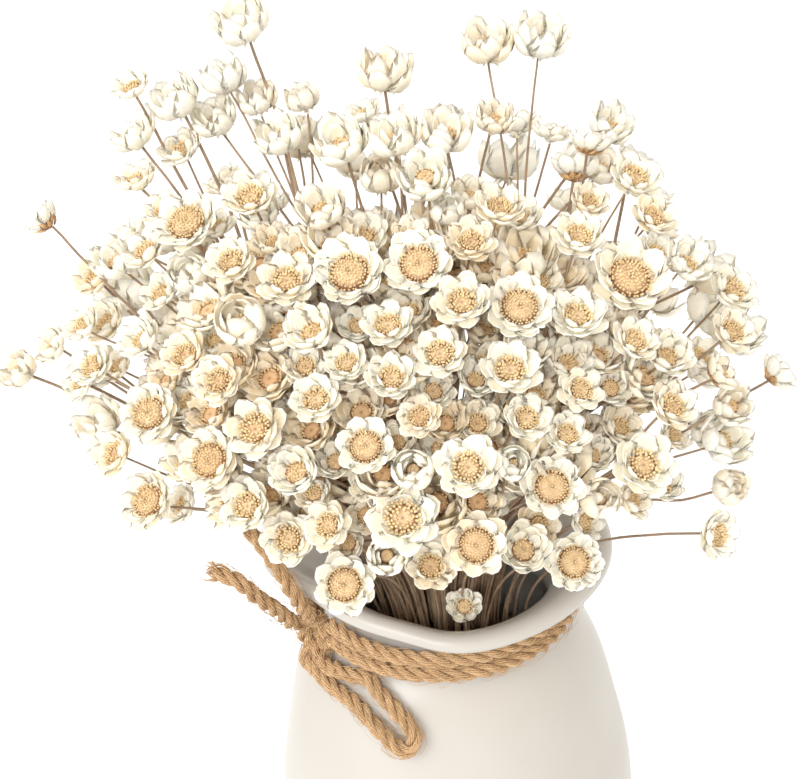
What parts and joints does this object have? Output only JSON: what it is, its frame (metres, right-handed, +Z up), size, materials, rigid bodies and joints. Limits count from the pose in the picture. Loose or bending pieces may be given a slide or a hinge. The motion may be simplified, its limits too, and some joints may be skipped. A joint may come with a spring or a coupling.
{
  "type": "dried flower bouquet in a vase",
  "caption": "Bouquet of small dried everlasting daisies standing in a white glazed vase, with jute twine wound and knotted round its neck.",
  "frame": {"origin": "middle of the vase's foot, on the surface that it stands on", "axes": "+Z up along the vase's axis, -Y towards the viewer of the picture, +X to that viewer's right"},
  "size_m": [0.2389, 0.176, 0.3542],
  "materials": {
    "glaze": "white ceramic glaze, glossy, opaque",
    "jute": "three-ply jute twine, matt and hairy",
    "dried_flower": "papery ivory petals round golden discs, on thin brown stems, matt"
  },
  "bodies": {
    "root": {"vase": "glaze", "twine_turn_upper": "jute", "twine_turn_lower": "jute", "twine_knot": "jute", "twine_tail_left": "jute", "twine_tail_back": "jute", "twine_loop": "jute", "spray_01": "dried_flower", "spray_02": "dried_flower", "spray_03": "dried_flower", "spray_04": "dried_flower", "spray_05": "dried_flower", "spray_06": "dried_flower", "spray_07": "dried_flower", "spray_08": "dried_flower", "spray_09": "dried_flower", "spray_10": "dried_flower", "spray_11": "dried_flower", "spray_12": "dried_flower", "spray_13": "dried_flower", "spray_14": "dried_flower", "spray_15": "dried_flower", "spray_16": "dried_flower", "spray_17": "dried_flower", "spray_18": "dried_flower", "spray_19": "dried_flower", "spray_20": "dried_flower", "spray_21": "dried_flower", "spray_22": "dried_flower", "spray_23": "dried_flower", "spray_24": "dried_flower", "spray_25": "dried_flower", "spray_26": "dried_flower", "spray_27": "dried_flower", "spray_28": "dried_flower", "spray_29": "dried_flower", "spray_30": "dried_flower", "spray_31": "dried_flower", "spray_32": "dried_flower", "spray_33": "dried_flower", "spray_34": "dried_flower", "spray_35": "dried_flower", "spray_36": "dried_flower", "spray_37": "dried_flower", "spray_38": "dried_flower", "spray_39": "dried_flower", "spray_40": "dried_flower", "spray_41": "dried_flower", "spray_42": "dried_flower", "spray_43": "dried_flower", "spray_44": "dried_flower", "spray_45": "dried_flower", "spray_46": "dried_flower", "spray_47": "dried_flower", "spray_48": "dried_flower", "spray_49": "dried_flower", "spray_50": "dried_flower", "spray_mouth": "dried_flower"}
  },
  "joints": []
}
